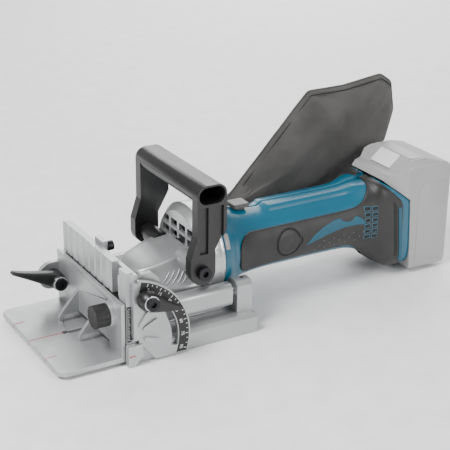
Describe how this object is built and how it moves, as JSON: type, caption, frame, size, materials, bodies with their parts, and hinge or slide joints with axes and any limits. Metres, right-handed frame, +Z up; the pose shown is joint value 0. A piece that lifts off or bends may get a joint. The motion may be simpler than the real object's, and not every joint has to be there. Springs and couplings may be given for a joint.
{
  "type": "biscuit joiner",
  "caption": "Cordless biscuit joiner: plunging blade unit on guide rods, adjustable angle guide, D handle, dust bag and slide-on battery.",
  "frame": {"origin": "on the sole plane, directly under the blade spindle's axis", "axes": "+Z up, -Y the way the blade plunges, +Y along the grip to the battery, +X the tool's left side"},
  "size_m": [0.17, 0.4497, 0.18],
  "materials": {
    "cast_aluminium": "satin die-cast metal, lightly blasted",
    "plate_aluminium": "bright machined plate",
    "teal_plastic": "moulded teal plastic with a fine grain and a soft gloss",
    "grip_rubber": "moulded dark grey rubber",
    "black_plastic": "black moulded plastic with a soft gloss",
    "steel": "ground steel",
    "dark_steel": "blackened steel",
    "scale_black": "black printed scale with white marks",
    "bag_fabric": "coated dark grey woven bag cloth",
    "battery_grey": "pale grey moulded plastic",
    "white_plastic": "white moulded plastic",
    "copper": "turned copper segments",
    "carbon": "pressed carbon",
    "circuit_green": "potted circuit board",
    "cell_wrap": "wrapped metal cells",
    "fan_plastic": "moulded plastic"
  },
  "bodies": {
    "base": {"base_casting": "cast_aluminium", "fence": "cast_aluminium", "ribbed_fence": "plate_aluminium", "angle_sector": "cast_aluminium", "angle_scale": "scale_black", "height_scale": "scale_black", "fence_pins": "dark_steel", "grip_tips": "grip_rubber", "guide_rods": "steel", "return_springs": "steel", "rod_screws": "dark_steel", "lever_stud": "steel", "dust_nozzle": "black_plastic", "stop_bracket": "cast_aluminium", "cover_pin": "steel", "angle_lever_screw": "dark_steel", "guide_rack": "steel"},
    "stop_dial": {"stop_dial": "black_plastic"},
    "cover": {"blade_cover": "cast_aluminium", "cover_screw": "steel"},
    "angle_lever": {"angle_lever": "black_plastic"},
    "angle_guide": {"angle_guide": "cast_aluminium", "height_pointer": "plate_aluminium", "guide_lever_screw": "dark_steel"},
    "height_knob": {"height_knob": "black_plastic"},
    "guide_lever": {"guide_lever": "black_plastic"},
    "motor_unit": {"slide_carriage": "cast_aluminium", "gear_housing": "cast_aluminium", "vent_drum": "plate_aluminium", "motor_flange": "cast_aluminium", "housing_left": "teal_plastic", "housing_right": "teal_plastic", "grip_pad_left": "grip_rubber", "grip_pad_right": "grip_rubber", "brush_caps": "black_plastic", "carbon_brushes": "carbon", "housing_screws": "steel", "d_handle": "black_plastic", "handle_screws": "dark_steel", "stator": "dark_steel", "bearings": "steel", "switch_unit": "black_plastic", "controller": "circuit_green", "terminal_block": "black_plastic"},
    "depth_screw": {"depth_screw": "steel"},
    "slide_switch": {"slide_switch": "black_plastic"},
    "shaft_lock": {"shaft_lock": "black_plastic"},
    "spindle_unit": {"blade": "steel", "spindle": "steel", "lock_nut": "dark_steel", "bevel_gear": "dark_steel"},
    "armature_unit": {"armature": "steel", "commutator": "copper", "fan": "fan_plastic", "pinion": "dark_steel"},
    "battery": {"battery_case": "battery_grey", "battery_cells": "cell_wrap"},
    "battery_button": {"battery_button": "white_plastic"},
    "dust_bag": {"dust_bag": "bag_fabric", "bag_collar": "black_plastic"}
  },
  "joints": [
    {"name": "plunge", "type": "slide", "parent": "base", "child": "motor_unit", "axis": [0, -1, 0], "range_m": [0, 0.02], "stiffness_N_per_m": 500, "springref_m": -0.02, "deforming": ["return_springs"]},
    {"name": "armature_spin", "type": "hinge", "parent": "motor_unit", "child": "armature_unit", "pos_m": [0, 0.1, 0.0615], "axis": [0, 1, 0], "continuous": true},
    {"name": "spindle_spin", "type": "hinge", "parent": "motor_unit", "child": "spindle_unit", "pos_m": [0, 0, 0.03], "axis": [0, 0, 1], "continuous": true},
    {"name": "guide_height", "type": "slide", "parent": "base", "child": "angle_guide", "axis": [0, 0, 1], "range_m": [0, 0.03]},
    {"name": "height_knob_turn", "type": "hinge", "parent": "angle_guide", "child": "height_knob", "pos_m": [0.049, -0.065, 0.0427], "axis": [0, 1, 0], "range_deg": [0, 345]},
    {"name": "guide_lever_turn", "type": "hinge", "parent": "angle_guide", "child": "guide_lever", "pos_m": [-0.054, -0.0632, 0.034], "axis": [1, 0, 0], "range_deg": [-45, 20]},
    {"name": "angle_lever_turn", "type": "hinge", "parent": "base", "child": "angle_lever", "pos_m": [0.08, -0.034, 0.0625], "axis": [1, 0, 0], "range_deg": [-40, 40]},
    {"name": "stop_dial_turn", "type": "hinge", "parent": "base", "child": "stop_dial", "pos_m": [-0.0355, -0.034, 0.027], "axis": [0, -1, 0], "continuous": true},
    {"name": "depth_adjust", "type": "slide", "parent": "motor_unit", "child": "depth_screw", "axis": [0, 1, 0], "range_m": [0, 0.005]},
    {"name": "cover_hinge", "type": "hinge", "parent": "base", "child": "cover", "pos_m": [0, 0.0666, 0.0017], "axis": [1, 0, 0], "range_deg": [0, 80]},
    {"name": "switch_slide", "type": "slide", "parent": "motor_unit", "child": "slide_switch", "axis": [0, -1, 0], "range_m": [0, 0.008], "stiffness_N_per_m": 400, "springref_m": -0.001},
    {"name": "shaft_lock_press", "type": "slide", "parent": "motor_unit", "child": "shaft_lock", "axis": [1, 0, 0], "range_m": [0, 0.002], "stiffness_N_per_m": 500, "springref_m": -0.001},
    {"name": "battery_slide", "type": "slide", "parent": "motor_unit", "child": "battery", "axis": [0, -0.0523, 0.9986], "range_m": [0, 0.08]},
    {"name": "battery_button_press", "type": "slide", "parent": "battery", "child": "battery_button", "axis": [0, 0.6219, -0.7831], "range_m": [0, 0.004], "stiffness_N_per_m": 500, "springref_m": -0.001},
    {"name": "bag_pull", "type": "slide", "parent": "base", "child": "dust_bag", "axis": [0, 0.7071, 0.7071], "range_m": [0, 0.04]}
  ],
  "couplings": [
    {"joint": "spindle_spin", "follows": "armature_spin", "ratio": 0.28571},
    {"joint": "height_knob_turn", "follows": "guide_height", "rad_per_m": 200}
  ]
}
